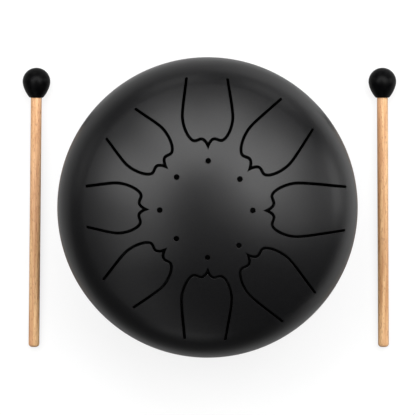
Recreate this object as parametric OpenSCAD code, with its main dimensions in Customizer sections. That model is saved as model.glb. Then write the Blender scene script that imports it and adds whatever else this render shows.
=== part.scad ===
// Eight-note steel tongue drum with a pair of mallets.
// +Z is up, the table is z = 0, and the origin is on the drum's axis at table level.
// The drum is two pressed shells welded at the seam. Eight tongues are cut in the dome.

/* [Drum shells] */
// Outer diameter of the drum at the seam
drum_d = 152; // [146:1:170]
// Height of the top shell above the seam
top_h = 43; // [39:0.5:50]
// Depth of the bottom shell below the seam
bottom_h = 43; // [41:0.5:55]
// Thickness of the steel sheet
sheet_t = 1.5; // [1:0.1:2]
// Rounding between the dome and the skirt of the top shell
shoulder_r = 28; // [22:0.5:32]
// Straight skirt of each shell beside the seam
skirt_h = 3; // [1.5:0.5:6]
// Rounding between the base and the skirt of the bottom shell
corner_r = 40; // [30:0.5:44]
// Diameter of the sound hole in the base
sound_hole_d = 40; // [30:1:46]

/* [Weld] */
// Width of the weld bead
weld_w = 1.6; // [0.8:0.1:2.4]
// Depth of the groove that the bead fills
weld_depth = 0.8; // [0.3:0.1:0.9]
// How far the ground bead stands proud of the skirt
weld_crown = 0.2; // [0.1:0.05:0.6]

/* [Tongues] */
// Radius of the ring that the tongue tips stand around
tip_ring_r = 31.4; // [28:0.2:33]
// Distance from the longest tongue's root to the edge of the drum, seen from above
root_inset = 7.8; // [6:0.1:10]
// Greatest width of the widest tongue
tongue_w = 26.6; // [22:0.2:28]
// Width of the slot cut round each tongue
slot_w = 1.25; // [0.5:0.05:1.3]
// Diameter of the round end of each slot
slot_end_d = 1.35; // [1:0.05:1.6]
// Hairline between a tongue's root and the shell
root_gap = 0.06; // [0.04:0.01:0.1]
// Diameter of the small hole below each tongue tip
tip_hole_d = 2.6; // [1:0.1:4]
// Distance from a tongue tip to its small hole, about the same on all tongues
tip_hole_gap = 7; // [4:0.1:9]

/* [Feet] */
// Height of a foot below the base
foot_h = 6; // [4:0.5:10]
// Diameter of a foot's pad
foot_d = 12; // [9:0.5:13]
// Least flat of the base on each side of a foot's pad
foot_margin = 2; // [0.5:0.5:3]
// Diameter of the hole in the base that a foot pushes into
foot_hole_d = 5; // [3:0.1:6]
// Diameter of the bulb that holds a foot from inside
foot_bulb_d = 8; // [6.5:0.1:10]
// Height of the bulb inside the base
foot_bulb_h = 4.5; // [3:0.1:7]
// Rounding of a foot's lower edge
foot_edge_r = 1.2; // [0.4:0.1:2.5]

/* [Mallets] */
// Overall length of a mallet
mallet_len = 147; // [130:1:160]
// Diameter of the wooden stick
stick_d = 5.7; // [4:0.1:6.5]
// Rounding of the stick's free end
stick_end_r = 1.7; // [0.4:0.1:1.8]
// Diameter of the rubber head
head_d = 14.5; // [12:0.1:18]
// Radius of the head's flank, between its round nose and its neck
flank_r = 15.8; // [11:0.1:40]
// Diameter of the head's neck, where the stick enters
neck_d = 7; // [6.8:0.1:9]
// Depth of the head's blind bore
bore_depth = 10; // [6:0.5:11]
// Gap between the drum and the left mallet's head, seen from above
left_gap = 6.4; // [4:0.1:14]
// Gap between the drum and the right mallet's head, seen from above
right_gap = 8.4; // [4:0.1:14]
// How far the middle of the mallets lies on the player's side of the drum's axis
mallet_front = 1.4; // [0:0.1:4]

/* [Hidden] */
$fn = 96;

paint = [0.09, 0.09, 0.1];
rubber = [0.05, 0.05, 0.05];
beech = [0.82, 0.64, 0.46];

// Play between a pushed-in piece and its hole
fit = 0.05;
// Overrun of a cut past the face that it opens
over = 1;
// How far two arcs that run into each other are lapped, so that they join as one
lap = 0.002;
// Least distance that a moved edge keeps from the tongue's middle line beside its point
point_clear = 0.05;
// Angle below the middle of the head at which its flank begins
flank_from = 14;
// How far each mallet is turned on the table
left_turn = -0.8;
right_turn = 0.5;

// The tongues, lowest note first. Angles run clockwise from +Y, seen from above.
tongue_angles = [90.8, 45.9, 138.2, 0.5, 179.7, 315.9, 226.8, 270.4];
lean_angles = [-1.5, -4.7, -1.9, -1.4, 2.6, -2.6, -0.6, 1.5];
length_shares = [1, 0.91, 0.935, 0.843, 0.884, 0.777, 0.813, 0.749];
width_shares = [0.995, 1, 0.99, 0.935, 0.93, 0.945, 0.935, 0.93];
tip_ring_shares = [0.925, 0.92, 0.955, 1, 0.955, 0.94, 0.92, 0.965];
// Turn of each root across its tongue, as the two slots aren't cut to quite the same length
root_slants = [2.3, 2.2, 2.5, 2.2, -0.7, 0.8, -3.6, -3.2];
// The small holes: how far each turns on from its tongue's angle, and its share of the gap
tip_hole_turns = [0.1, 0.6, 0.5, 0.3, 0.2, 0.7, 0.3, -0.8];
tip_gap_shares = [0.98, 1, 0.95, 1.06, 0.935, 1.07, 1.15, 0.985];

// Half of a tongue's end from its point to its belly, as Bezier control points,
// each a share of the tongue's width: the point, the hump and the round lobe.
tip_curve_shares = [
    [[0, 0], [0.03, 0.07], [0.075, 0.135], [0.13, 0.135]],
    [[0.13, 0.135], [0.175, 0.135], [0.215, 0.1], [0.26, 0.1]],
    [[0.26, 0.1], [0.37, 0.1], [0.5, 0.37], [0.5, 0.585]]
];
// Half of the root's width, as a share of the tongue's width
root_share = 0.41;
// Pull of the side's two inner control points, across and along
side_pull_shares = [0.45, 0.2, 0.6];
// Steps along each Bezier curve
curve_steps = 6;

drum_r = drum_d / 2;
seam_z = foot_h + bottom_h;
top_z = seam_z + top_h;
shoulder_x = drum_r - shoulder_r;
shoulder_z = seam_z + skirt_h;
dome_rise = top_h - skirt_h - shoulder_r;
dome_drop = (pow(shoulder_x, 2) - pow(dome_rise, 2)) / (2 * dome_rise);
dome_r = shoulder_r + dome_rise + dome_drop;
dome_from = atan2(dome_drop, shoulder_x);
sound_hole_r = sound_hole_d / 2;
// The corner keeps a straight skirt above it and the feet's flat inside it
bowl_r = min(corner_r, bottom_h - skirt_h, drum_r - sound_hole_r - foot_d - 2 * foot_margin);
base_r = drum_r - bowl_r;
bowl_z = foot_h + bowl_r;
foot_ring_r = (sound_hole_r + base_r) / 2;
crown_r = (pow(weld_w / 2, 2) + pow(weld_crown, 2)) / (2 * weld_crown);

tongue_len = drum_r - root_inset - tip_ring_r * tip_ring_shares[0];

head_r = head_d / 2;
stick_r = stick_d / 2;
neck_r = neck_d / 2;
left_x = drum_r + left_gap + head_r;
right_x = drum_r + right_gap + head_r;
flank_centre = (head_r - flank_r) * direction(-flank_from);
neck_z = flank_centre.y - sqrt(pow(flank_r, 2) - pow(neck_r - flank_centre.x, 2));
head_y = mallet_len / 2 - head_r - mallet_front;
// Distance from the head's centre to the last of the stick's full width
stick_reach = mallet_len - head_r - stick_end_r;
// The mallet rests on its head and on the stick's end, so it lies at this small angle
rest_angle = asin(head_r / norm([stick_reach, stick_r])) - atan2(stick_r, stick_reach);

function direction(a) = [cos(a), sin(a)];
function left_normal(a, b) = let (d = (b - a) / norm(b - a)) [-d.y, d.x];
function bezier(p, t) =
    pow(1 - t, 3) * p[0] + 3 * pow(1 - t, 2) * t * p[1]
    + 3 * (1 - t) * pow(t, 2) * p[2] + pow(t, 3) * p[3];
function curve(p) = [for (k = [1:curve_steps]) bezier(p, k / curve_steps)];
function last(list) = list[len(list) - 1];

// A tongue's own place: its point is the origin and +Y runs outwards to its root
function width_of(i) = tongue_w * width_shares[i];
function length_of(i) = tongue_len * length_shares[i];
function tip_r_of(i) = tip_ring_r * tip_ring_shares[i];
function root_x(i) = width_of(i) * root_share;
// A point moved outwards on the left and inwards on the right, the more the nearer to the root
function slanted(i, p) = [p.x, p.y * (1 - p.x * tan(root_slants[i]) / length_of(i))];

function side_curve(i) = let (
        belly = width_of(i) * last(last(tip_curve_shares)),
        run = [root_x(i), length_of(i)] - belly
    ) curve([
        belly,
        belly + [0, run.y * side_pull_shares[1]],
        belly + [run.x * (1 - side_pull_shares[0]), run.y * side_pull_shares[2]],
        belly + run
    ]);
// The middle of the slot on the tongue's right side, from the point to the root
function half_line(i) = concat(
    [[0, 0]],
    [for (part = tip_curve_shares) each curve(width_of(i) * part)],
    side_curve(i)
);
// That line moved by d towards the tongue's middle, without what would cross the middle
function moved_half(line, d) = [for (k = [0:len(line) - 1]) let (
        n_in = left_normal(line[max(k, 1) - 1], line[max(k, 1)]),
        k_out = min(k, len(line) - 2),
        n_out = left_normal(line[k_out], line[k_out + 1]),
        moved = line[k] + d * (n_in + n_out) / (1 + n_in * n_out)
    ) if (moved.x > point_clear) moved];
// Both halves of the moved line, which meet in a point and end at height y, with the root slanted
function outline_of(i, d, y) = let (
        side = moved_half(half_line(i), d),
        ahead = side[1] - side[0],
        point = [0, side[0].y - side[0].x * ahead.y / ahead.x],
        right = [for (k = [0:len(side) - 1]) k == len(side) - 1 ? [side[k].x, y] : side[k]],
        left = [for (k = [len(right) - 1:-1:0]) [-right[k].x, right[k].y]]
    ) [for (p = concat(left, [point], right)) slanted(i, p)];

// The quarter of a disc that lies right of its centre and below it
module lower_quarter(r) {
    intersection() {
        circle(r);
        translate([0, -r])
            square(r);
    }
}

// The dome and its shoulder in section above the skirt, filled, drawn in by d from the outer face
module dome_area(d) {
    ray = top_h / sin(dome_from) * direction(dome_from);
    intersection() {
        square([drum_r, top_h]);
        union() {
            translate([shoulder_x - lap, 0])
                circle(shoulder_r + lap - d);
            intersection() {
                translate([0, -dome_drop])
                    circle(dome_r - d);
                polygon([[0, 0], [shoulder_x, 0], [shoulder_x + ray.x, ray.y], [0, ray.y]]);
            }
        }
    }
}

module weld_groove() {
    polygon([
        [drum_r - weld_depth, seam_z],
        [drum_r + weld_depth, seam_z - weld_w],
        [drum_r + weld_depth, seam_z + weld_w]
    ]);
}

module top_wall() {
    rotate_extrude() {
        translate([0, shoulder_z])
            difference() {
                dome_area(0);
                dome_area(sheet_t);
            }
        difference() {
            translate([drum_r - sheet_t, seam_z])
                square([sheet_t, skirt_h]);
            weld_groove();
        }
    }
}

module at_tongue(i) {
    rotate([0, 0, -tongue_angles[i]])
        translate([0, tip_r_of(i), 0])
            rotate([0, 0, -lean_angles[i]])
                children();
}

module through_top(h_from) {
    translate([0, 0, h_from])
        linear_extrude(top_z - h_from + over)
            children();
}

module tongue_window(i) {
    at_tongue(i)
        through_top(shoulder_z) {
            polygon(outline_of(i, -slot_w / 2, length_of(i) + root_gap / 2));
            for (side = [-1, 1])
                translate(slanted(i, [side * root_x(i), length_of(i)]))
                    circle(d = slot_end_d);
        }
}

module tip_hole(i) {
    rotate([0, 0, -tongue_angles[i] - tip_hole_turns[i]])
        translate([0, tip_r_of(i) - tip_hole_gap * tip_gap_shares[i], shoulder_z])
            cylinder(d = tip_hole_d, h = top_z - shoulder_z + over);
}

module top_shell() {
    color(paint)
        difference() {
            top_wall();
            for (i = [0:len(tongue_angles) - 1]) {
                tongue_window(i);
                tip_hole(i);
            }
        }
}

module tongue(i) {
    color(paint)
        intersection() {
            top_wall();
            at_tongue(i)
                through_top(shoulder_z)
                    polygon(outline_of(i, slot_w / 2, length_of(i) - root_gap / 2));
        }
}

module at_feet(k) {
    rotate([0, 0, 90 + k * 120])
        translate([foot_ring_r, 0, 0])
            children();
}

module bottom_shell() {
    color(paint)
        difference() {
            rotate_extrude() {
                translate([sound_hole_r, foot_h])
                    square([base_r - sound_hole_r, sheet_t]);
                translate([base_r, bowl_z])
                    difference() {
                        lower_quarter(bowl_r);
                        circle(bowl_r - sheet_t);
                    }
                difference() {
                    translate([drum_r - sheet_t, bowl_z])
                        square([sheet_t, seam_z - bowl_z]);
                    weld_groove();
                }
            }
            for (k = [0:2])
                at_feet(k)
                    translate([0, 0, foot_h - over])
                        cylinder(d = foot_hole_d, h = sheet_t + 2 * over);
        }
}

module seam_weld() {
    color(paint)
        rotate_extrude() {
            polygon([
                [drum_r - weld_depth, seam_z],
                [drum_r, seam_z - weld_w / 2],
                [drum_r, seam_z + weld_w / 2]
            ]);
            intersection() {
                translate([drum_r + weld_crown - crown_r, seam_z])
                    circle(crown_r);
                translate([drum_r, seam_z - weld_w])
                    square([weld_w, 2 * weld_w]);
            }
        }
}

// A pad below the base, a neck in its hole and a bulb that snaps in above it
module foot(k) {
    pad_r = foot_d / 2;
    neck_foot_r = foot_hole_d / 2 - fit;
    bulb_r = foot_bulb_d / 2;
    bulb_z = foot_h + sheet_t + fit;
    color(rubber)
        at_feet(k)
            rotate_extrude() {
                square([pad_r - foot_edge_r, foot_h]);
                translate([pad_r - foot_edge_r, foot_edge_r])
                    square([foot_edge_r, foot_h - foot_edge_r]);
                translate([pad_r - foot_edge_r, foot_edge_r])
                    lower_quarter(foot_edge_r);
                polygon([
                    [0, foot_h],
                    [neck_foot_r, foot_h],
                    [neck_foot_r, bulb_z],
                    [bulb_r, bulb_z],
                    [neck_foot_r, bulb_z + foot_bulb_h],
                    [0, bulb_z + foot_bulb_h]
                ]);
            }
}

// Sets a mallet down. Its own +Z runs along the stick towards the head, from the head's centre.
module laid_mallet(x, turn) {
    translate([x, head_y, head_r])
        rotate([rest_angle - 90, 0, turn])
            children();
}

module mallet_stick() {
    stick_top = neck_z + bore_depth - fit;
    full_end = head_r - mallet_len + stick_end_r;
    color(beech)
        rotate_extrude() {
            translate([0, full_end])
                square([stick_r, stick_top - full_end]);
            translate([0, full_end - stick_end_r])
                square([stick_r - stick_end_r, stick_end_r]);
            translate([stick_r - stick_end_r, full_end])
                lower_quarter(stick_end_r);
        }
}

// A round nose that runs into a long curved flank down to the neck, with a blind bore
module mallet_head() {
    ray = head_d * direction(-flank_from);
    color(rubber)
        rotate_extrude()
            difference() {
                union() {
                    intersection() {
                        circle(head_r);
                        translate([0, -head_r])
                            square([head_r, head_d]);
                    }
                    intersection() {
                        translate(flank_centre)
                            circle(flank_r - lap);
                        polygon([[0, 0], [0, neck_z], [head_r, neck_z], ray]);
                    }
                }
                translate([-over, neck_z - over])
                    square([stick_r + fit + over, bore_depth + over]);
            }
}

top_shell();
tongue(0);  // tongue_1
tongue(1);  // tongue_2
tongue(2);  // tongue_3
tongue(3);  // tongue_4
tongue(4);  // tongue_5
tongue(5);  // tongue_6
tongue(6);  // tongue_7
tongue(7);  // tongue_8
bottom_shell();
seam_weld();
foot(0);  // foot_1
foot(1);  // foot_2
foot(2);  // foot_3
laid_mallet(-left_x, left_turn) mallet_stick();  // left_mallet_stick
laid_mallet(-left_x, left_turn) mallet_head();  // left_mallet_head
laid_mallet(right_x, right_turn) mallet_stick();  // right_mallet_stick
laid_mallet(right_x, right_turn) mallet_head();  // right_mallet_head
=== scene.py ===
# %% [markdown]
# # A steel tongue drum in Blender
# This lesson dresses a small eight-note tongue drum and its two mallets for a studio picture.
# The drum is two pressed steel shells, welded at the middle and powder coated in satin black.
# A laser has cut eight tulip-shaped tongues in the dome, and each one sounds a note when struck.
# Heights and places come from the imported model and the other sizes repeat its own, so every piece
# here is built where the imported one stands.

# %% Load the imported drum
import bpy
import numpy as np
from math import acos, asin, atan2, cos, hypot, pi, radians, sin, sqrt
from mathutils import Matrix, Vector
from mathutils.geometry import delaunay_2d_cdt


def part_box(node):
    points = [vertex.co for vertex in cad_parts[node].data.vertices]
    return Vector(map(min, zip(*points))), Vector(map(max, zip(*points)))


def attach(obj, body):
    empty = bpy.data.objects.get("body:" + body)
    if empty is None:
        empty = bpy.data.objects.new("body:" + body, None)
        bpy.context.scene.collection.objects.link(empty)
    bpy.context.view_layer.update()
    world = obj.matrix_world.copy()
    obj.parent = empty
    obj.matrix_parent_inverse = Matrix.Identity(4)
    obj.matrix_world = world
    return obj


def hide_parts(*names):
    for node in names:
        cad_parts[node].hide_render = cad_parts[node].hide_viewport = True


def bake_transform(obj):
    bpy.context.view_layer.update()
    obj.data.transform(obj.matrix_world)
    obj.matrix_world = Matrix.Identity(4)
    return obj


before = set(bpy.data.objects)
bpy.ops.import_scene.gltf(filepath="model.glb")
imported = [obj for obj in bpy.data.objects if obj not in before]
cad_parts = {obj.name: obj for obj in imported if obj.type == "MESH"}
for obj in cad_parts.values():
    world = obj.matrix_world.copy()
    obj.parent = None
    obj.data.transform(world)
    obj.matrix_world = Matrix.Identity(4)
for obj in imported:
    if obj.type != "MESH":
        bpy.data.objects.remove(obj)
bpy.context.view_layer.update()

MM = 0.001

# %% [markdown]
# ## The steel shells in section
# Both halves of a real drum are pressed from flat discs, so each is a solid of revolution.
# The section has a cap, which is a shallow dome above and a flat base below, then one round
# corner, and then a short straight skirt at the seam. It could be drawn by eye as a curve and
# spun, but a formula is better here: it also gives the true normal at each point, and a black
# satin surface shows every error in its normals.

# %% The sizes of the shells
drum_r = 76 * MM
seam_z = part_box("top_shell")[0].z
top_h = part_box("top_shell")[1].z - seam_z
base_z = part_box("bottom_shell")[0].z
sheet_t = 1.5 * MM
skirt_h = 3 * MM
top_corner_r = 28 * MM
base_corner_r = 40 * MM
flat_rise = 0.01 * MM
print("drum", drum_r * 2 / MM, "mm across, seam at", round(seam_z / MM, 2), "mm")


# %% A pressed shell's section as a formula
class Section:
    """Half of a shell's outline: heights are measured away from the seam, on both halves."""

    def __init__(self, height, corner_r):
        self.height, self.corner_r = height, corner_r
        self.corner_x = drum_r - corner_r
        rise = height - skirt_h - corner_r
        self.slope, self.cap_r, self.drop = 0.0, None, None
        if rise > flat_rise:
            self.drop = (self.corner_x ** 2 - rise ** 2) / (2 * rise)
            self.cap_r = corner_r + rise + self.drop
            self.slope = atan2(self.corner_x, self.drop)

    def at(self, r, depth=0.0):
        """Height, and the normal's parts across and up, at radius r and this deep in the sheet."""
        r = np.asarray(r, float)
        bend = self.corner_r - depth
        across = np.clip((r - self.corner_x) / bend, 0, 1)
        h = skirt_h + bend * np.sqrt(1 - across ** 2)
        if self.cap_r:
            on_cap = r < self.corner_x + bend * sin(self.slope)
            cap_across = np.clip(r / (self.cap_r - depth), 0, 1)
            cap_h = skirt_h - self.drop + (self.cap_r - depth) * np.sqrt(1 - cap_across ** 2)
            across, h = np.where(on_cap, cap_across, across), np.where(on_cap, cap_h, h)
        return h, across, np.sqrt(1 - across ** 2)

    def rim(self, from_r, depth, steps):
        """Radius, height and normal along the corner, from a radius down to the skirt."""
        bend = self.corner_r - depth
        first = acos(min(1.0, (from_r - self.corner_x) / bend))
        turns = [first * (1 - k / steps) for k in range(steps + 1)]
        return [(self.corner_x + bend * cos(a), skirt_h + bend * sin(a), (cos(a), sin(a))) for a in turns]


dome = Section(top_h, top_corner_r)
bowl = Section(seam_z - base_z, base_corner_r)
print("dome radius", round(dome.cap_r / MM, 1), "mm, flat base out to", round(bowl.corner_x / MM, 1), "mm")

# %% [markdown]
# ## The outline of a tongue
# From above, each tongue is a tulip: a small point, a hump on each side of it, round lobes
# and sides that draw in towards the root, where the tongue is still one with the shell.
# Four Bezier curves make half of it, and the other half is its mirror image. The laser's
# path is the middle of the slot, so the shell's edge and the tongue's edge are that line
# moved half a slot to either side.

# %% The places of the tongues, lowest note first
tongue_angles = [90.8, 45.9, 138.2, 0.5, 179.7, 315.9, 226.8, 270.4]
lean_angles = [-1.5, -4.7, -1.9, -1.4, 2.6, -2.6, -0.6, 1.5]
length_shares = [1, 0.91, 0.935, 0.843, 0.884, 0.777, 0.813, 0.749]
width_shares = [0.995, 1, 0.99, 0.935, 0.93, 0.945, 0.935, 0.93]
tip_ring_shares = [0.925, 0.92, 0.955, 1, 0.955, 0.94, 0.92, 0.965]
root_slants = [2.3, 2.2, 2.5, 2.2, -0.7, 0.8, -3.6, -3.2]
tip_hole_turns = [0.1, 0.6, 0.5, 0.3, 0.2, 0.7, 0.3, -0.8]
tip_gap_shares = [0.98, 1, 0.95, 1.06, 0.935, 1.07, 1.15, 0.985]
tip_ring_r = 31.4 * MM
tip_hole_gap = 7 * MM
tip_hole_r = 1.3 * MM
root_inset = 7.8 * MM
slot_w = 1.25 * MM
slot_end_r = 0.675 * MM
tongue_w = 26.6 * MM
tongue_len = drum_r - root_inset - tip_ring_r * tip_ring_shares[0]
tip_curve_shares = [
    [[0, 0], [0.03, 0.07], [0.075, 0.135], [0.13, 0.135]],
    [[0.13, 0.135], [0.175, 0.135], [0.215, 0.1], [0.26, 0.1]],
    [[0.26, 0.1], [0.37, 0.1], [0.5, 0.37], [0.5, 0.585]],
]
root_share = 0.41
side_pull_shares = (0.45, 0.2, 0.6)
tongue_count = len(tongue_angles)
print(tongue_count, "tongues, the longest", round(tongue_len / MM, 2), "mm")

# %% Half of the laser's path, from the tongue's point to its root
EDGE_BREAK = 0.22 * MM
POINT_GAP = 0.03 * MM
CURVE_STEPS = 14


def bezier(pulls):
    a, b, c, d = (np.array(p, float) for p in pulls)
    t = (np.arange(1, CURVE_STEPS + 1) / CURVE_STEPS)[:, None]
    return a * (1 - t) ** 3 + 3 * b * t * (1 - t) ** 2 + 3 * c * t ** 2 * (1 - t) + d * t ** 3


def half_path(i):
    width, length = tongue_w * width_shares[i], tongue_len * length_shares[i]
    belly = width * np.array(tip_curve_shares[-1][-1])
    run = np.array([width * root_share, length]) - belly
    side = [belly, belly + [0, run[1] * side_pull_shares[1]],
            belly + [run[0] * (1 - side_pull_shares[0]), run[1] * side_pull_shares[2]], belly + run]
    ends = [bezier(width * np.array(part)) for part in tip_curve_shares]
    return np.vstack([[[0, 0]], *ends, bezier(side)])


print("points on half of a path:", len(half_path(0)))


# %% The path moved to the shell's edge or the tongue's edge
def shifted(half, inwards):
    step = np.diff(half, axis=0)
    step /= np.linalg.norm(step, axis=1)[:, None]
    left = np.stack([-step[:, 1], step[:, 0]], axis=1)
    before, after = np.vstack([left[:1], left]), np.vstack([left, left[-1:]])
    return half + inwards * (before + after) / (1 + (before * after).sum(1))[:, None]


def half_edge(i, inwards):
    """The moved half, ended where it meets the tongue's middle line."""
    half = half_path(i)
    side = shifted(half, inwards)
    if inwards > 0:
        side = side[shifted(half, slot_w / 2 + EDGE_BREAK)[:, 0] > POINT_GAP]
    (x, y), (next_x, next_y) = side[:2]
    return np.vstack([[[0, y - x * (next_y - y) / (next_x - x)]], side])


print("tongue 1 point to shell point:",
      round((half_edge(0, slot_w / 2)[0, 1] - half_edge(0, -slot_w / 2)[0, 1]) / MM, 2), "mm")

# %% Closed outlines, counter-clockwise seen from above
ROOT_STEPS = 24
CAP_STEPS = 8
MIRROR = np.array([-1, 1])


def root_line(i, inset):
    """The straight root from right to left. The shell and the tongue share its points."""
    reach, length = half_path(i)[-1] - [inset, 0]
    return np.array([[reach * (1 - 2 * k / ROOT_STEPS), length] for k in range(ROOT_STEPS + 1)])


def tongue_outline(i, inset):
    side = half_edge(i, inset)[:-1]
    return np.vstack([side[:0:-1] * MIRROR, side, root_line(i, inset)])


def window_outline(i, outset):
    """The shell's edge round a tongue, with the round ends of the slot beyond the root."""
    side, end = half_edge(i, -outset), half_path(i)[-1]
    cap_r = outset + slot_end_r - slot_w / 2
    start = atan2(*(side[-1] - end)[::-1])
    turns = [start + (pi - start) * k / CAP_STEPS for k in range(CAP_STEPS)]
    cap = np.array([end + cap_r * np.array([cos(a), sin(a)]) for a in turns])
    side = side[np.linalg.norm(side - end, axis=1) > cap_r]
    return np.vstack([side[:0:-1] * MIRROR, side, cap, root_line(i, cap_r), cap[::-1] * MIRROR])


def rotated(points, degrees_left):
    a = radians(degrees_left)
    return points @ np.array([[cos(a), sin(a)], [-sin(a), cos(a)]])


def slanted(i, points):
    """Draws one slot out and the other in, as the two aren't cut to quite the same length."""
    rise = -np.tan(radians(root_slants[i])) * points[:, 0] * points[:, 1] / (tongue_len * length_shares[i])
    return points + np.column_stack([np.zeros(len(points)), rise])


def on_drum(i, points):
    """Carries points from the tongue's own place to its place on the drum, seen from above."""
    placed = rotated(slanted(i, points), -lean_angles[i]) + [0, tip_ring_r * tip_ring_shares[i]]
    return rotated(placed, -tongue_angles[i])


def circle(centre, radius, steps):
    turns = 2 * pi * np.arange(steps) / steps
    return np.array(centre) + radius * np.stack([np.cos(turns), np.sin(turns)], axis=1)


print("points round tongue 1:", len(tongue_outline(0, slot_w / 2)))

# %% [markdown]
# ## A mesh that keeps its own normals
# Blender can guess smooth normals from the faces, but beside a cut the guess is uneven,
# and gloss shows it as smears. So each face corner here is given the normal that the real
# surface has there. This small builder collects points, faces and corner normals, and then
# turns them into one closed mesh.

# %% The mesh builder
class Builder:
    def __init__(self):
        self.points, self.faces, self.normals = [], [], []

    def add(self, points):
        first = len(self.points)
        self.points.extend(map(tuple, points))
        return np.arange(first, first + len(points))

    def face(self, corners, normals, flip=False):
        corners, normals = list(map(int, corners)), list(map(tuple, normals))
        self.faces.append(corners[::-1] if flip else corners)
        self.normals.extend(normals[::-1] if flip else normals)

    def band(self, low, high, low_normals, high_normals, flip=False):
        """Quads between two closed rings with as many points each, or a fan to a single point."""
        count = max(len(low), len(high))
        for k in range(count):
            n = (k + 1) % count
            if len(low) == 1:
                corners = [low[0], high[n], high[k]]
                normals = [low_normals[k], high_normals[n], high_normals[k]]
            elif len(high) == 1:
                corners = [low[k], low[n], high[0]]
                normals = [low_normals[k], low_normals[n], high_normals[k]]
            else:
                corners = [low[k], low[n], high[n], high[k]]
                normals = [low_normals[k], low_normals[n], high_normals[n], high_normals[k]]
            self.face(corners, normals, flip)

    def finish(self, name, place=Matrix.Identity(4)):
        """One object in the drum's frame, with its corner normals."""
        mesh = bpy.data.meshes.new(name)
        mesh.from_pydata([place @ Vector(p) for p in self.points], [], self.faces)
        mesh.polygons.foreach_set("use_smooth", [True] * len(mesh.polygons))
        turn = place.to_3x3()
        mesh.normals_split_custom_set([turn @ Vector(n) for n in self.normals])
        mesh.update()
        piece = bpy.data.objects.new(name, mesh)
        bpy.context.scene.collection.objects.link(piece)
        print(name, len(mesh.polygons), "faces,", round(volume_of(mesh) / MM ** 3), "mm3")
        return piece


def volume_of(mesh):
    """Signed volume: it is positive when every face looks outwards."""
    points, total = [v.co for v in mesh.vertices], 0.0
    for face in mesh.polygons:
        a, *rest = (points[k] for k in face.vertices)
        total += sum(a.dot(b.cross(c)) for b, c in zip(rest, rest[1:])) / 6
    return total


# %% [markdown]
# ## Pressed sheet with openings
# A cap with slots and holes is one sheet. Seen from above, its points are a web of rings,
# with the outlines of the openings laid in, and a Delaunay triangulation joins them all.
# Then the web is lifted onto the outer face of the sheet, and a coarser one onto the inner
# face. Cutting the openings with a Boolean would also work, but it leaves long thin faces.
# The sharp edges that the laser leaves are deburred and then rounded further by the paint, so
# each opening gets a small broken edge. It makes the slots look a little wider and softer than
# the cut itself.

# %% Which points are inside an outline, and how far they are from it
def inside(points, outline):
    x, y = points[:, 0][:, None], points[:, 1][:, None]
    (x1, y1), (x2, y2) = outline.T, np.roll(outline, -1, axis=0).T
    spans = (y1 > y) != (y2 > y)
    with np.errstate(divide="ignore", invalid="ignore"):
        crossing = (x2 - x1) * (y - y1) / (y2 - y1) + x1
    return (spans & (x < crossing)).sum(1) % 2 == 1


def clearance(points, outline):
    side = np.roll(outline, -1, axis=0) - outline
    share = ((points[:, None] - outline) * side).sum(2) / (side ** 2).sum(1)
    near = outline + np.clip(share, 0, 1)[..., None] * side
    return np.linalg.norm(points[:, None] - near, axis=2).min(1)


# %% A web of loose points, and its triangles
FACE_PITCH = 1.3 * MM
FACE_GAP = FACE_PITCH / 3
BACK_PITCH = 3.2 * MM
BACK_GAP = BACK_PITCH / 4
LEAST_ON_RING = 6
SAME_POINT_MM = 1e-6


def web(reach, pitch, section):
    """Points on rings from the axis out to a radius, a pitch apart along the sheet."""
    rings, r = [np.zeros((1, 2))], 0.0
    while True:
        lean = float(section.at(r)[2])
        r += pitch * lean
        if r > reach - pitch * lean / 2:
            return np.vstack(rings)
        count = max(LEAST_ON_RING, round(2 * pi * r / pitch))
        rings.append(rotated(circle((0, 0), r, count), 180 / count * (len(rings) % 2)))


def sprinkled(points, openings, gap, within=None):
    """The points that lie clear of every opening, and inside the outline of a piece if it is given."""
    keep = np.ones(len(points), bool)
    for outline in openings:
        near = ((points > outline.min(0) - gap) & (points < outline.max(0) + gap)).all(1)
        near = np.where(near)[0]
        keep[near[inside(points[near], outline) | (clearance(points[near], outline) < gap)]] = False
    if within is not None:
        keep &= ((points > within.min(0)) & (points < within.max(0))).all(1)
        near = np.where(keep)[0]
        keep[near] = inside(points[near], within) & (clearance(points[near], within) > gap)
    return points[keep]


def triangulated(bound, openings, loose):
    """Joins a bounding outline, the openings in it and the loose points between them."""
    points, edges, first = np.vstack([bound, *openings, loose]), [], 0
    for outline in [bound, *openings]:
        count = len(outline)
        edges += [(first + k, first + (k + 1) % count) for k in range(count)]
        first += count
    made = delaunay_2d_cdt([Vector(p / MM) for p in points], edges, [], 0, SAME_POINT_MM)
    back = [ids[0] for ids in made[3]]
    faces = np.array([[back[k] for k in face] for face in made[2]])
    middles = points[faces].mean(1)
    keep = inside(middles, bound)
    for outline in openings:
        near = ((middles > outline.min(0)) & (middles < outline.max(0))).all(1)
        near = np.where(near & keep)[0]
        keep[near] = ~inside(middles[near], outline)
    return points, faces[keep]


# %% Lifting the web onto the steel, and the walls of the cuts
ON_AXIS = 1e-7


def lifted(points, section, depth, up):
    """Places and normals on the sheet. up is 1 for the top shell and -1 for the bottom one."""
    r = np.linalg.norm(points, axis=1)
    h, across, along = section.at(r, depth)
    out = points / np.maximum(r, ON_AXIS)[:, None]
    places = np.column_stack([points, seam_z + up * h])
    return places, np.column_stack([out * across[:, None], up * along])


def add_sheet_face(build, section, depth, up, bound, openings, loose):
    """One face of the sheet. Gives back the point numbers round the bound and each opening."""
    points, faces = triangulated(bound, openings, loose)
    places, normals = lifted(points, section, depth, up)
    numbers = build.add(places)
    sense = 1 if depth == 0 else -1
    for a, b, c in faces:
        ab, ac = points[b] - points[a], points[c] - points[a]
        flip = (ab[0] * ac[1] - ab[1] * ac[0]) * up * sense < 0
        build.face(numbers[[a, b, c]], sense * normals[[a, b, c]], flip)
    counts = np.cumsum([0, len(bound), *map(len, openings)])
    return [numbers[a:b] for a, b in zip(counts, counts[1:])]


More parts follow.
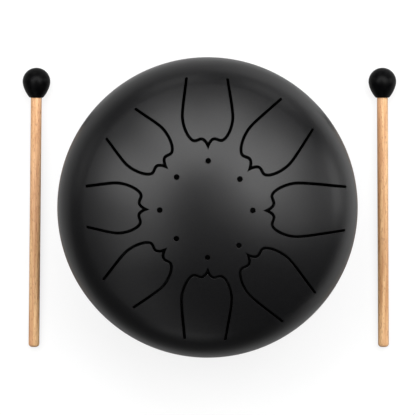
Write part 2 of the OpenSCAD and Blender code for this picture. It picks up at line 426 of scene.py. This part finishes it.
def level_normals(outline):
    """Level normals that point away from what the outline encloses."""
    step = np.roll(outline, -1, axis=0) - np.roll(outline, 1, axis=0)
    step /= np.linalg.norm(step, axis=1)[:, None]
    return np.column_stack([step[:, 1], -step[:, 0], np.zeros(len(outline))])


def add_cut(build, section, up, broken, edge, outer_ring, inner_ring, encloses_steel):
    """The broken edge and the wall of a cut, from the outer face to the inner face."""
    places, _ = lifted(edge, section, 0, up)
    places[:, 2] -= up * EDGE_BREAK
    middle = build.add(places)
    _, face_normals = lifted(broken, section, 0, up)
    walls = level_normals(edge) * (1 if encloses_steel else -1)
    flip = encloses_steel == (up > 0)
    build.band(outer_ring, middle, face_normals, walls, flip)
    build.band(middle, inner_ring, walls, walls, flip)


print("web points on the dome's cap:", len(web(dome.corner_x, FACE_PITCH, dome)))

# %% [markdown]
# ## The two shells
# The sheet is webbed out past its last opening: on the dome beyond the tongues' roots, which lie
# on the round corner, and on the base to where the corner starts. From there to the seam nothing
# is cut, so plain rings carry it round the corner, down the skirt, across the welded groove and
# back up the inside. The same function makes the domed top and the flat bottom: only the section,
# the web's reach, the openings and the direction differ.

# %% Building a shell
RING_STEPS = 360
CORNER_STEPS, INNER_CORNER_STEPS = 26, 13
groove_depth = 0.8 * MM


def spun(across, up_part, steps=RING_STEPS):
    """A ring of points or normals: the same part across all round, and the same part up."""
    return np.column_stack([circle((0, 0), across, steps), np.full(steps, up_part)])


def shell_chain(section, from_r):
    """The outline beyond the web: round the corner, down to the seam's groove and back inside."""
    outer = section.rim(from_r, 0, CORNER_STEPS)
    inner = section.rim(from_r, sheet_t, INNER_CORNER_STEPS)
    groove = [(drum_r, groove_depth, None), (drum_r - groove_depth, 0, None), (drum_r - sheet_t, 0, None)]
    return outer + groove + [(r, h, (-n[0], -n[1])) for r, h, n in inner[::-1]]


def make_shell(name, section, up, web_r, openings):
    """openings holds pairs of outlines: at the broken edge, and at the cut itself."""
    build = Builder()
    bound = circle((0, 0), web_r, RING_STEPS)
    broken, cuts = [pair[0] for pair in openings], [pair[1] for pair in openings]
    loose = sprinkled(web(web_r, FACE_PITCH, section), broken, FACE_GAP)
    outer = add_sheet_face(build, section, 0, up, bound, broken, loose)
    loose = sprinkled(web(web_r, BACK_PITCH, section), cuts, BACK_GAP)
    inner = add_sheet_face(build, section, sheet_t, up, bound, cuts, loose)
    for k, (wide, cut) in enumerate(openings):
        add_cut(build, section, up, wide, cut, outer[k + 1], inner[k + 1], False)
    chain = shell_chain(section, web_r)
    rings = [outer[0]] + [build.add(spun(r, seam_z + up * h)) for r, h, n in chain[1:-1]] + [inner[0]]
    for (r, h, n), (next_r, next_h, next_n), low, high in zip(chain, chain[1:], rings, rings[1:]):
        if n is None or next_n is None:
            length = hypot(next_r - r, next_h - h)
            n = next_n = ((h - next_h) / length, (next_r - r) / length)
        build.band(low, high, spun(n[0], up * n[1]), spun(next_n[0], up * next_n[1]), up > 0)
    return build.finish(name)


# %% The top shell, with eight windows and eight small holes
top_web_r = 71.5 * MM
TIP_HOLE_STEPS = 28


def two_edges(edge_of, *facts):
    """An opening's outline at the broken edge and at the cut."""
    return edge_of(*facts, EDGE_BREAK), edge_of(*facts, 0)


def window_edge(i, extra):
    return on_drum(i, window_outline(i, slot_w / 2 + extra))


def tip_hole_edge(i, extra):
    reach = tip_ring_r * tip_ring_shares[i] - tip_hole_gap * tip_gap_shares[i]
    centre = rotated(np.array([0, reach]), -tongue_angles[i] - tip_hole_turns[i])
    return circle(centre, tip_hole_r + extra, TIP_HOLE_STEPS)


top_openings = [two_edges(window_edge, i) for i in range(tongue_count)]
top_openings += [two_edges(tip_hole_edge, i) for i in range(tongue_count)]
top_shell = make_shell("pressed_top_shell", dome, 1, top_web_r, top_openings)

# %% The bottom shell, with the sound hole and three holes for the feet
foot_boxes = [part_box("foot_%d" % k) for k in (1, 2, 3)]
foot_centres = [((low + high) / 2).to_2d() for low, high in foot_boxes]
sound_hole_r = 20 * MM
foot_hole_r = 2.5 * MM
SOUND_HOLE_STEPS, FOOT_HOLE_STEPS = 180, 36


def round_hole_edge(centre, radius, steps, extra):
    return circle(centre, radius + extra, steps)


base_openings = [two_edges(round_hole_edge, (0, 0), sound_hole_r, SOUND_HOLE_STEPS)]
base_openings += [two_edges(round_hole_edge, tuple(c), foot_hole_r, FOOT_HOLE_STEPS) for c in foot_centres]
bottom_shell = make_shell("pressed_bottom_shell", bowl, -1, bowl.corner_x, base_openings)

# %% [markdown]
# ## The tongues
# A tongue is the same sheet as the dome, so it takes the same web and the same normals, and
# the surface runs on over its root without a line. Its edge is the other side of the slot.
# When the drum is played only the root flexes.

# %% Cutting the eight tongues
tongues = []
for i in range(tongue_count):
    broken, cut = [on_drum(i, tongue_outline(i, slot_w / 2 + extra)) for extra in (EDGE_BREAK, 0)]
    build = Builder()
    loose = sprinkled(web(top_web_r, FACE_PITCH, dome), [], FACE_GAP, broken)
    outer = add_sheet_face(build, dome, 0, 1, broken, [], loose)
    loose = sprinkled(web(top_web_r, BACK_PITCH, dome), [], BACK_GAP, cut)
    inner = add_sheet_face(build, dome, sheet_t, 1, cut, [], loose)
    add_cut(build, dome, 1, broken, cut, outer[0], inner[0], True)
    tongues.append(build.finish("cut_tongue_%d" % (i + 1)))

# %% [markdown]
# ## Turned pieces
# The weld bead, the rubber feet, the beech sticks and the rubber heads are all round, so each
# is an outline spun about its axis, as on a lathe or in a turned mould. Where the outline bends
# softly its normals are shared, and where it bends sharply they aren't, which keeps a crisp lip.

# %% A lathe that keeps its normals
SHARP_BEND = radians(24)


def soft_normals(outline, closed):
    """The normals at the start and end of each stretch. The material lies left of the outline."""
    points = np.array(outline + outline[:1] if closed else outline)
    step = np.diff(points, axis=0)
    length = np.linalg.norm(step, axis=1)
    own = np.stack([step[:, 1], -step[:, 0]], axis=1) / length[:, None]
    starts, ends = own.copy(), own.copy()
    for k in range(0 if closed else 1, len(own)):
        if acos(np.clip(own[k - 1] @ own[k], -1, 1)) < SHARP_BEND:
            mean = own[k - 1] * length[k] + own[k] * length[k - 1]
            ends[k - 1] = starts[k] = mean / np.linalg.norm(mean)
    return zip(starts, ends)


def turned(name, outline, steps, place=Matrix.Identity(4), closed=False):
    """Spins (radius, height) points, given counter-clockwise round the material."""
    build = Builder()
    rings = [build.add(spun(r, h, steps) if r > ON_AXIS else [(0, 0, h)]) for r, h in outline]
    rings += rings[:1] if closed else []
    for (a, b), low, high in zip(soft_normals(outline, closed), rings, rings[1:]):
        build.band(low, high, spun(a[0], a[1], steps), spun(b[0], b[1], steps))
    return build.finish(name, place)


def arc(centre, radius, from_deg, to_deg, steps):
    turns = [radians(from_deg + (to_deg - from_deg) * k / steps) for k in range(steps + 1)]
    return [(centre[0] + radius * cos(a), centre[1] + radius * sin(a)) for a in turns]


# %% The weld bead
weld_w = 1.6 * MM
weld_crown = 0.2 * MM
CROWN_STEPS = 8
crown_r = ((weld_w / 2) ** 2 + weld_crown ** 2) / (2 * weld_crown)
crown_turn = asin(weld_w / 2 / crown_r) * 180 / pi
crown = arc((drum_r + weld_crown - crown_r, seam_z), crown_r, -crown_turn, crown_turn, CROWN_STEPS)
weld_bead = turned("weld_bead", [(drum_r - groove_depth, seam_z)] + crown, RING_STEPS, closed=True)

# %% The rubber feet
FOOT_STEPS = 64
foot_r = 6 * MM
foot_top = foot_boxes[0][1].z
hole_gap = 0.05 * MM
neck_r = foot_hole_r - hole_gap
bulb_r = 4 * MM
bulb_z = base_z + sheet_t + hole_gap
tread_r = 2.4 * MM
sole_round, pad_round, bulb_round = 1.2 * MM, 0.4 * MM, 0.3 * MM
SOLE_STEPS, PAD_STEPS, BULB_STEPS = 8, 4, 4
bulb_turn = (-60, 50)
bulb_fall = 0.02 * MM
foot_outline = [(0, 0), (tread_r, 0),
                *arc((foot_r - sole_round, sole_round), sole_round, -90, 0, SOLE_STEPS),
                *arc((foot_r - pad_round, base_z - pad_round), pad_round, 0, 90, PAD_STEPS),
                (neck_r, base_z), (neck_r, bulb_z), (bulb_r - bulb_round, bulb_z),
                *arc((bulb_r - bulb_round, bulb_z + bulb_round), bulb_round, *bulb_turn, BULB_STEPS),
                (neck_r, foot_top - bulb_fall), (0, foot_top)]
feet = [turned("rubber_foot_%d" % (k + 1), foot_outline, FOOT_STEPS, Matrix.Translation((*c, 0)))
        for k, c in enumerate(foot_centres)]

# %% [markdown]
# ## The mallets
# Each mallet is a beech stick with a moulded rubber head pushed on. It lies on the table on its
# head and the far end of its stick, so it leans by a degree or two. The frame gives the head's
# box and with it the mallet's place, and the lean follows from how thick the head and stick are.

# %% How a mallet lies
mallet_len = 147 * MM
stick_r = 2.85 * MM
stick_end_r = 1.7 * MM
mallet_turns = {"left": -0.8, "right": 0.5}
head_r = 7.25 * MM
stick_reach = mallet_len - head_r - stick_end_r
mallet_lean = asin(head_r / hypot(stick_reach, stick_r)) - atan2(stick_r, stick_reach)


def mallet_place(side):
    low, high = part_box(side + "_mallet_head")
    x = low.x + head_r if side == "left" else high.x - head_r
    turn = Matrix.Rotation(radians(mallet_turns[side]), 4, "Z")
    lean = Matrix.Rotation(mallet_lean - pi / 2, 4, "X")
    return Matrix.Translation((x, high.y - head_r, head_r)) @ turn @ lean


for side in mallet_turns:
    print(side, "mallet's head at", [round(v / MM, 2) for v in mallet_place(side).translation])

# %% The outline of a moulded head
flank_r = 15.8 * MM
flank_from = 14
FLANK_STEPS, NOSE_STEPS = 12, 32
neck_lip_r = 3.5 * MM
neck_round_w, neck_round_h = 0.25 * MM, 0.3 * MM
bore_gap = 0.05 * MM
bore_depth = 10 * MM
bore_lip = 0.1 * MM
bore_r = stick_r + bore_gap
flank_x = (head_r - flank_r) * cos(radians(flank_from))
flank_y = -(head_r - flank_r) * sin(radians(flank_from))
neck_y = flank_y - sqrt(flank_r ** 2 - (neck_lip_r - flank_x) ** 2)
bore_end = neck_y + bore_depth
flank_to = atan2(neck_y + neck_round_h - flank_y, neck_lip_r - flank_x) * 180 / pi
head_outline = [(0, bore_end), (bore_r, bore_end), (bore_r, neck_y + bore_lip), (bore_r + bore_lip, neck_y),
                (neck_lip_r - neck_round_w, neck_y),
                *arc((flank_x, flank_y), flank_r, flank_to, -flank_from, FLANK_STEPS),
                *arc((0, 0), head_r, -flank_from, 90, NOSE_STEPS)[1:]]
print("a head is", round((head_r - neck_y) / MM, 1), "mm long, its bore", bore_depth / MM, "mm deep")

# %% Turning the sticks, each with its head
stick_far = head_r - mallet_len
stick_tip = bore_end - bore_gap
tip_bevel_w, tip_bevel_h = 0.4 * MM, 0.5 * MM
straight_from = stick_far + stick_end_r
STICK_END_STEPS = 8
STICK_PARTS = 40
stick_rings = [straight_from + (bore_end - stick_far) * k / STICK_PARTS for k in range(1, STICK_PARTS - 1)]
stick_outline = [(0, stick_far),
                 *arc((stick_r - stick_end_r, straight_from), stick_end_r, -90, 0, STICK_END_STEPS),
                 *[(stick_r, h) for h in stick_rings],
                 (stick_r, bore_end - tip_bevel_h), (stick_r - tip_bevel_w, stick_tip), (0, stick_tip)]
STICK_STEPS, HEAD_STEPS = 48, 96
sticks, heads = {}, {}
for side in mallet_turns:
    sticks[side] = turned(side + "_beech_stick", stick_outline, STICK_STEPS, mallet_place(side))
    heads[side] = turned(side + "_rubber_head", head_outline, HEAD_STEPS, mallet_place(side))

# %% [markdown]
# ## Writing materials as sums
# A material is a network of nodes, but its maths reads better as Python. A Wire stands for one
# output of a node, and adding or multiplying wires lays down the Math node that does it. A
# Recipe is one material, and its node method makes any other node. Its short helpers lay down
# the nodes that most materials here need.

# %% Wires and recipes
class Wire:
    """One output in a material. Sums of wires become Math nodes."""

    def __init__(self, recipe, socket):
        self.recipe, self.socket = recipe, socket

    def math(self, operation, other):
        return self.recipe.node("ShaderNodeMath", {"operation": operation}, {0: self, 1: other})

    def __add__(self, other):
        return self.math("ADD", other)

    def __mul__(self, other):
        return self.math("MULTIPLY", other)

    __radd__, __rmul__ = __add__, __mul__

    def ramp(self, low, high):
        """Runs smoothly from 0, where this is low, to 1, where it is high."""
        values = {"Value": self, "From Min": low, "From Max": high}
        return self.recipe.node("ShaderNodeMapRange", {"interpolation_type": "SMOOTHSTEP"}, values)


class Recipe:
    """One material, built round its Principled shader."""

    def __init__(self, name, **constants):
        self.material = bpy.data.materials.new(name)
        self.material.use_nodes = True
        self.tree = self.material.node_tree
        self.shader = self.tree.nodes["Principled BSDF"]
        for socket, value in constants.items():
            self.shader.inputs[socket.replace("_", " ")].default_value = value

    def node(self, kind, settings=None, values=None, output=0):
        made = self.tree.nodes.new(kind)
        for key, value in (settings or {}).items():
            setattr(made, key, value)
        for socket, value in (values or {}).items():
            self.feed(made.inputs[socket], value)
        return Wire(self, made.outputs[output])

    def feed(self, socket, value):
        if isinstance(value, Wire):
            self.tree.links.new(value.socket, socket)
        else:
            socket.default_value = value

    def place(self, *stretch):
        """Where the surface point is in the object, in millimetres, stretched along x, y and z."""
        spot = self.node("ShaderNodeTexCoord", output=3)
        factors = [s / MM for s in (stretch or (1, 1, 1))]
        return self.node("ShaderNodeVectorMath", {"operation": "MULTIPLY"}, {0: spot, 1: factors})

    def noise(self, where, scale, detail=2.0, rough=0.5, distortion=0.0):
        values = {"Vector": where, "Scale": scale, "Detail": detail, "Roughness": rough}
        values["Distortion"] = distortion
        return self.node("ShaderNodeTexNoise", None, values)

    def measure(self, operation, *vectors):
        """A number from vectors, such as the length of one or the dot product of two."""
        return self.node("ShaderNodeVectorMath", {"operation": operation}, dict(enumerate(vectors)), 1)

    def rays(self):
        """Whether a ray comes straight from the camera, from a shiny surface or through glass."""
        path = self.node("ShaderNodeLightPath").socket.node.outputs
        return [Wire(self, path["Is %s Ray" % kind]) for kind in ("Camera", "Glossy", "Transmission")]

    def mix(self, share, first, second):
        """A colour that runs from the first, at share 0, to the second, at share 1."""
        return self.node("ShaderNodeMix", {"data_type": "RGBA"}, {0: share, 6: first, 7: second}, 2)

    def bump(self, height, depth):
        """Normals for a surface with this height, where a height of 1 is depth in metres."""
        return self.node("ShaderNodeBump", None, {"Height": height, "Distance": depth, "Strength": 1.0})

    def surface(self, **wires):
        for socket, value in wires.items():
            self.feed(self.shader.inputs[socket.replace("_", " ")], value)
        return self.material


def colour(red, green, blue):
    """A colour written as a picture stores it, from 0 to 255, in Blender's linear values."""
    shares = [v / 255 for v in (red, green, blue)]
    return [*[v / 12.92 if v < 0.04045 else ((v + 0.055) / 1.055) ** 2.4 for v in shares], 1.0]


print("a black written as 13, 13, 14 is", [round(v, 4) for v in colour(13, 13, 14)[:3]])

# %% [markdown]
# ## Satin black coat
# The paint is a baked black powder coat: a deep black with a broad, soft shine and a very fine
# grain that only shows where light grazes it. A flat black would look like plastic film. Here the
# grain is a bump a few microns high, and the shine varies a little where hands and a cloth have
# been over it.

# %% Mixing the black coat
def make_black_coat():
    coat = Recipe("satin_black_coat", IOR=1.35)
    place = coat.place()
    grain = coat.noise(place, 1.6, 2.0, 0.6)
    flow = coat.noise(place, 0.16, 3.0, 0.5)
    handling = coat.noise(coat.place(1, 1, 1.6), 0.035, 3.0, 0.55)
    tone = coat.mix(grain.ramp(0.3, 0.7), colour(8, 8, 9), colour(17, 17, 18))
    rough = 0.29 + handling * 0.06 + grain * 0.04
    height = grain * 0.7 + flow * 0.5
    return coat.surface(Base_Color=tone, Roughness=rough, Normal=coat.bump(height, 0.016 * MM))


black_coat = make_black_coat()
print(black_coat.name, len(black_coat.node_tree.nodes), "nodes")

# %% [markdown]
# ## Rubber for the heads and the feet
# The heads are smooth moulded rubber, near black, with a soft sheen from handling. The feet are
# the same rubber left matt from the mould, with the dust that a table gives them.

# %% Mixing the rubbers
def make_head_rubber():
    rubber = Recipe("head_rubber", IOR=1.35, Specular_IOR_Level=0.12)
    place = rubber.place()
    skin = rubber.noise(place, 1.1, 3.0, 0.6)
    wear = rubber.noise(place, 0.22, 2.0, 0.5)
    tone = rubber.mix(wear.ramp(0.3, 0.75), colour(2, 2, 3), colour(6, 6, 6))
    rough = 0.28 + wear * 0.12 + skin * 0.05
    return rubber.surface(Base_Color=tone, Roughness=rough, Normal=rubber.bump(skin, 0.02 * MM))


def make_foot_rubber():
    rubber = Recipe("foot_rubber", IOR=1.5)
    place = rubber.place()
    skin = rubber.noise(place, 2.2, 3.0, 0.65)
    dust = rubber.noise(place, 0.5, 4.0, 0.6).ramp(0.45, 0.75)
    tone = rubber.mix(dust * 0.5, colour(24, 24, 24), colour(58, 56, 53))
    return rubber.surface(Base_Color=tone, Roughness=0.55 + dust * 0.2, Normal=rubber.bump(skin, 0.03 * MM))


head_rubber, foot_rubber = make_head_rubber(), make_foot_rubber()
print("rubbers:", head_rubber.name, foot_rubber.name)

# %% [markdown]
# ## Beech
# A beech stick is turned from a square with the grain along it. Year rings run its length as soft
# bands, short brown ray flecks lie between them, and both go right through the wood. So it is
# made as a solid block in space and the stick is cut from it: bands, fibres and flecks come from
# noise that is stretched along the stick, and broad pinker clouds lie over them.

# %% Mixing the beech
def make_beech():
    beech = Recipe("beech_wood", IOR=1.46)
    cloud = beech.noise(beech.place(1, 0.06, 1), 0.16, 2.0, 0.5)
    bands = beech.noise(beech.place(1, 0.03, 1), 0.55, 3.0, 0.6, 0.3)
    fibre = beech.noise(beech.place(1, 0.04, 1), 3.2, 3.0, 0.65)
    flecks = beech.noise(beech.place(1, 0.2, 1), 2.2, 1.0, 0.4).ramp(0.6, 0.7)
    tone = beech.mix(bands.ramp(0.36, 0.64), colour(192, 142, 95), colour(229, 187, 137))
    tone = beech.mix(cloud.ramp(0.42, 0.66) * 0.5, tone, colour(216, 164, 130))
    tone = beech.mix(fibre.ramp(0.44, 0.68) * 0.6, tone, colour(176, 122, 79))
    tone = beech.mix(flecks * 0.5, tone, colour(140, 90, 58))
    rough = 0.5 + fibre * 0.15
    height = fibre + flecks * -0.6
    return beech.surface(Base_Color=tone, Roughness=rough, Normal=beech.bump(height, 0.03 * MM))


beech_wood = make_beech()
print(beech_wood.name, len(beech_wood.node_tree.nodes), "nodes")

# %% [markdown]
# ## Joining the pieces to the moving drum
# Each piece takes its material and stands for the plain piece of the imported model, and all
# but the tongues take the body they move with. The shell carries everything but the tongues and
# the mallets.

# %% Finishing each piece
root_bend = 6 * MM


def dress(piece, material, node, body=None):
    piece.data.materials.append(material)
    if body:
        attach(piece, body)
    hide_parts(node)


dress(top_shell, black_coat, "top_shell", "shell")
dress(bottom_shell, black_coat, "bottom_shell", "shell")
dress(weld_bead, black_coat, "seam_weld", "shell")
for k, foot in enumerate(feet):
    dress(foot, foot_rubber, "foot_%d" % (k + 1), "shell")
for side in mallet_turns:
    dress(sticks[side], beech_wood, side + "_mallet_stick", side + "_mallet")
    dress(heads[side], head_rubber, side + "_mallet_head", side + "_mallet")
for i, tongue in enumerate(tongues):
    dress(tongue, black_coat, "tongue_%d" % (i + 1))
    reach = tongue_len * length_shares[i]
    root, bent = on_drum(i, np.array([[0, reach], [0, reach - root_bend]]))
    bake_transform(tongue)

# %% [markdown]
# ## The table
# The drum stands on a sheet of white paper that runs on out of sight. The black shoulder mirrors
# it, and a sheet that was equally bright all round would draw the rim as one even pale ring. On
# the real table the light was dimmer in front and brighter on the right, so the paper's colour
# for what it throws back carries painted shade in front and painted light on the right, while
# the camera sees it plain. Plain white is added for the camera, so the paper looks white with a
# soft shadow. None is added under the drum, so it stays dark there and no light shows through the slots.

# %% A white table
table_reach = 4
back_turn, right_turn = radians(15), radians(72)
to_back = (sin(back_turn), cos(back_turn), 0)
to_right = (sin(right_turn), cos(right_turn), 0)
# The paper's painted shade fades out from 210 to 115 mm in front, and its painted light comes in from 100
# to 160 mm on the right.
painted_front_shade_mm = (-210, -115)
painted_right_light_mm = (100, 160)
under_drum_mm = (32, 62)
seen_white = 0.8
mirrored_white = 0.05


def make_table():
    """Paper that the camera sees as white, and that throws a greyer light back on the drum, with painted
    shade in front and painted light on the right.
    """
    paper = Recipe("white_table")
    place = paper.place()
    camera, gloss, glass = paper.rays()
    seen = paper.mix(paper.noise(place, 0.4, 2.0), colour(244, 244, 244), colour(248, 248, 248))
    # Painted shade: the colour that the paper throws back darkens towards the front, and painted light
    # brightens it on the right.
    lit = paper.measure("DOT_PRODUCT", place, to_back).ramp(*painted_front_shade_mm)
    painted_bounce_tone = paper.mix(lit, colour(80, 80, 80), colour(172, 172, 172))
    right = paper.measure("DOT_PRODUCT", place, to_right).ramp(*painted_right_light_mm)
    painted_bounce_tone = paper.mix(right, painted_bounce_tone, colour(228, 228, 228))
    paper.surface(Base_Color=paper.mix(camera, painted_bounce_tone, seen), Roughness=0.7)
    white = paper.node("ShaderNodeEmission", None, {"Color": (1, 1, 1, 1), "Strength": 1.0})
    beyond = paper.measure("LENGTH", place).ramp(*under_drum_mm)
    # The white that shiny surfaces see fades towards the front with the same painted shade.
    share = camera * beyond * seen_white + (gloss + glass) * lit * mirrored_white
    lit_paper = Wire(paper, paper.shader.outputs[0])
    mixed = paper.node("ShaderNodeMixShader", None, {0: share, 1: lit_paper, 2: white})
    paper.feed(paper.tree.nodes["Material Output"].inputs[0], mixed)
    return paper.material


corners = [(x * table_reach, y * table_reach, 0) for x, y in ((-1, -1), (1, -1), (1, 1), (-1, 1))]
table_mesh = bpy.data.meshes.new("white_table")
table_mesh.from_pydata(corners, [], [(0, 1, 2, 3)])
table = bpy.data.objects.new("white_table", table_mesh)
bpy.context.scene.collection.objects.link(table)
table_mesh.materials.append(make_table())
print("table", table.dimensions[:2])

# %% [markdown]
# ## The light and the room
# A half ring of six soft boxes hangs over the drum's far side, and the dome mirrors them as one
# broad pale arc. Seven low ones stand farther off. Five of them, behind and to the right and
# left, light the back shoulder, and two in front draw a faint band on the near one. A small box
# near the top keeps the middle from going black. The rest of the dome mirrors the dim room, and
# only the camera sees that room as a pale wall.

# %% Soft boxes
light_aim = Vector((0, 0, 0.06))


def soft_box(name, reach, size, fall, turn, power):
    """A soft box that faces the drum, so many degrees off straight above and clockwise from behind."""
    lamp = bpy.data.lights.new(name, "AREA")
    lamp.shape = "RECTANGLE"
    lamp.size, lamp.size_y = size
    lamp.energy = power
    fall, turn = radians(fall), radians(turn)
    ray = Vector((sin(fall) * sin(turn), sin(fall) * cos(turn), cos(fall)))
    box = bpy.data.objects.new(name, lamp)
    box.location = light_aim + reach * ray
    box.rotation_euler = ray.to_track_quat("Z", "Y").to_euler()
    box.visible_camera = False
    bpy.context.scene.collection.objects.link(box)


arc_reach, arc_size = 0.7, (0.28, 0.38)
arc_boxes = [(35, 250, 0.72), (37, 292, 2.05), (36, 335, 2.1), (35, 15, 2.0), (35, 56, 2.15), (35, 91, 1.0)]
low_reach, low_size = 1.5, (0.7, 0.4)
low_boxes = [(77, 345, 1.6), (78, 30, 1.7), (68, 82, 2.9), (82, 80, 2.5), (70, 190, 1.1), (79, 290, 0.9),
             (54, 217, 0.75)]
top_reach, top_size = 0.8, (0.3, 0.3)
top_box = (15, 62, 0.48)
for k, fall_turn_power in enumerate(arc_boxes):
    soft_box("arc_soft_box_%d" % (k + 1), arc_reach, arc_size, *fall_turn_power)
for k, fall_turn_power in enumerate(low_boxes):
    soft_box("low_soft_box_%d" % (k + 1), low_reach, low_size, *fall_turn_power)
soft_box("top_soft_box", top_reach, top_size, *top_box)

# %% The room
room_light = 0.03
seen_wall = 0.86
mirrored_wall = 0.02


class Room(Recipe):
    """The dim room round the table, which only the camera sees as a pale wall."""

    def __init__(self, name):
        self.world = bpy.data.worlds.new(name)
        self.world.use_nodes = True
        self.tree = self.world.node_tree
        camera, gloss, glass = self.rays()
        dim, pale = (self.node("ShaderNodeBackground", None, {"Color": (1, 1, 1, 1), "Strength": strength})
                     for strength in (room_light, 1.0))
        share = camera * seen_wall + (gloss + glass) * mirrored_wall
        mixed = self.node("ShaderNodeMixShader", None, {0: share, 1: dim, 2: pale})
        self.feed(self.tree.nodes["World Output"].inputs[0], mixed)


bpy.context.scene.world = Room("studio_room").world
bpy.context.scene.view_settings.view_transform = "Standard"
print("room:", bpy.context.scene.world.name)

# %% [markdown]
# ## The camera
# The picture was taken from almost straight above with a long lens, from 1.2 m away. The camera
# stands a little towards the back and leans by under two degrees, so the far side of the drum
# shows a hair more than the near side.

# %% Camera
camera_lean = radians(1.62)
camera_reach = 1.2
aim_z = 0.049
camera_data = bpy.data.cameras.new("camera")
camera_data.sensor_width = 36
focal_px, picture_px = 2365.5, 415
camera_data.lens = camera_data.sensor_width * focal_px / picture_px
camera = bpy.data.objects.new("camera", camera_data)
camera.location = (0, camera_reach * sin(camera_lean), aim_z + camera_reach * cos(camera_lean))
camera.rotation_euler = (-camera_lean, 0, 0)
bpy.context.scene.collection.objects.link(camera)
bpy.context.scene.camera = camera
print("lens", round(camera_data.lens, 1), "mm")
